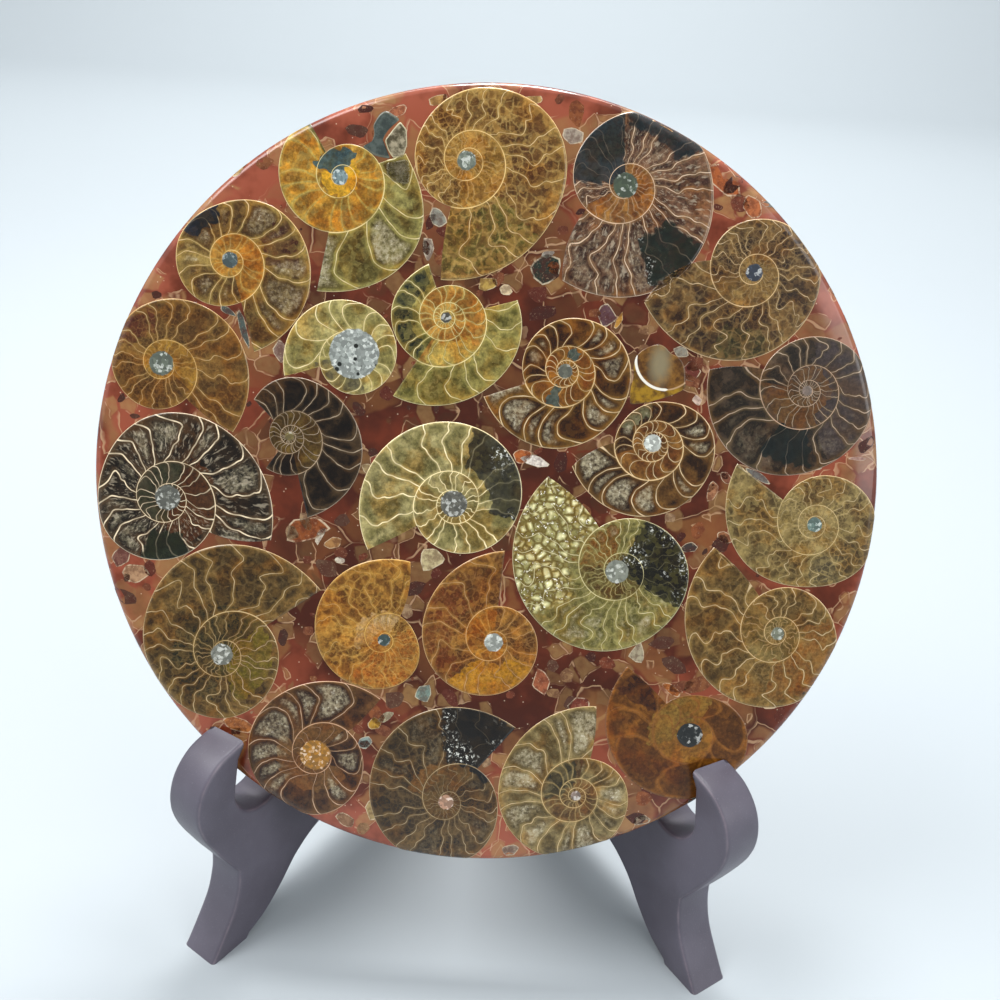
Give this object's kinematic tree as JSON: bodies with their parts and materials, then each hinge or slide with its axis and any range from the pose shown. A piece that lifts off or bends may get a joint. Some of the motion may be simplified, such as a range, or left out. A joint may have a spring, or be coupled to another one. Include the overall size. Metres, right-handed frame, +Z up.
{
  "type": "ammonite fossil slice",
  "caption": "Round polished slab of red-brown resin filled with sliced ammonites, leaning on a folding two-board display stand.",
  "frame": {"origin": "middle of the bounding box's base, on the surface the stand's feet rest on", "axes": "+Z up, the polished face looks towards -Y, +X is the viewer's right"},
  "size_m": [0.2, 0.115, 0.2267],
  "materials": {
    "cast_resin": "clear cast resin, dyed red-brown, polished face",
    "ammonite_01": "cut and polished fossil",
    "ammonite_02": "cut and polished fossil",
    "ammonite_03": "cut and polished fossil",
    "ammonite_04": "cut and polished fossil",
    "ammonite_05": "cut and polished fossil",
    "ammonite_06": "cut and polished fossil",
    "ammonite_07": "cut and polished fossil",
    "ammonite_08": "cut and polished fossil",
    "ammonite_09": "cut and polished fossil",
    "ammonite_10": "cut and polished fossil",
    "ammonite_11": "cut and polished fossil",
    "ammonite_12": "cut and polished fossil",
    "ammonite_13": "cut and polished fossil",
    "ammonite_14": "cut and polished fossil",
    "ammonite_15": "cut and polished fossil",
    "ammonite_16": "cut and polished fossil",
    "ammonite_17": "cut and polished fossil",
    "ammonite_18": "cut and polished fossil",
    "ammonite_19": "cut and polished fossil",
    "ammonite_20": "cut and polished fossil",
    "ammonite_21": "cut and polished fossil",
    "ammonite_22": "cut and polished fossil",
    "ammonite_23": "cut and polished fossil",
    "ammonite_24": "cut and polished fossil",
    "shell_fragment": "cut and polished fossil",
    "moulded_abs": "fine-grained satin",
    "steel_pin": "drawn wire"
  },
  "bodies": {
    "root": {"resin_slab": "cast_resin", "ammonite_01": "ammonite_01", "ammonite_02": "ammonite_02", "ammonite_03": "ammonite_03", "ammonite_04": "ammonite_04", "ammonite_05": "ammonite_05", "ammonite_06": "ammonite_06", "ammonite_07": "ammonite_07", "ammonite_08": "ammonite_08", "ammonite_09": "ammonite_09", "ammonite_10": "ammonite_10", "ammonite_11": "ammonite_11", "ammonite_12": "ammonite_12", "ammonite_13": "ammonite_13", "ammonite_14": "ammonite_14", "ammonite_15": "ammonite_15", "ammonite_16": "ammonite_16", "ammonite_17": "ammonite_17", "ammonite_18": "ammonite_18", "ammonite_19": "ammonite_19", "ammonite_20": "ammonite_20", "ammonite_21": "ammonite_21", "ammonite_22": "ammonite_22", "ammonite_23": "ammonite_23", "ammonite_24": "ammonite_24", "shell_fragment": "shell_fragment", "stand_left": "moulded_abs", "stand_right": "moulded_abs", "hinge_pin": "steel_pin"}
  },
  "joints": []
}
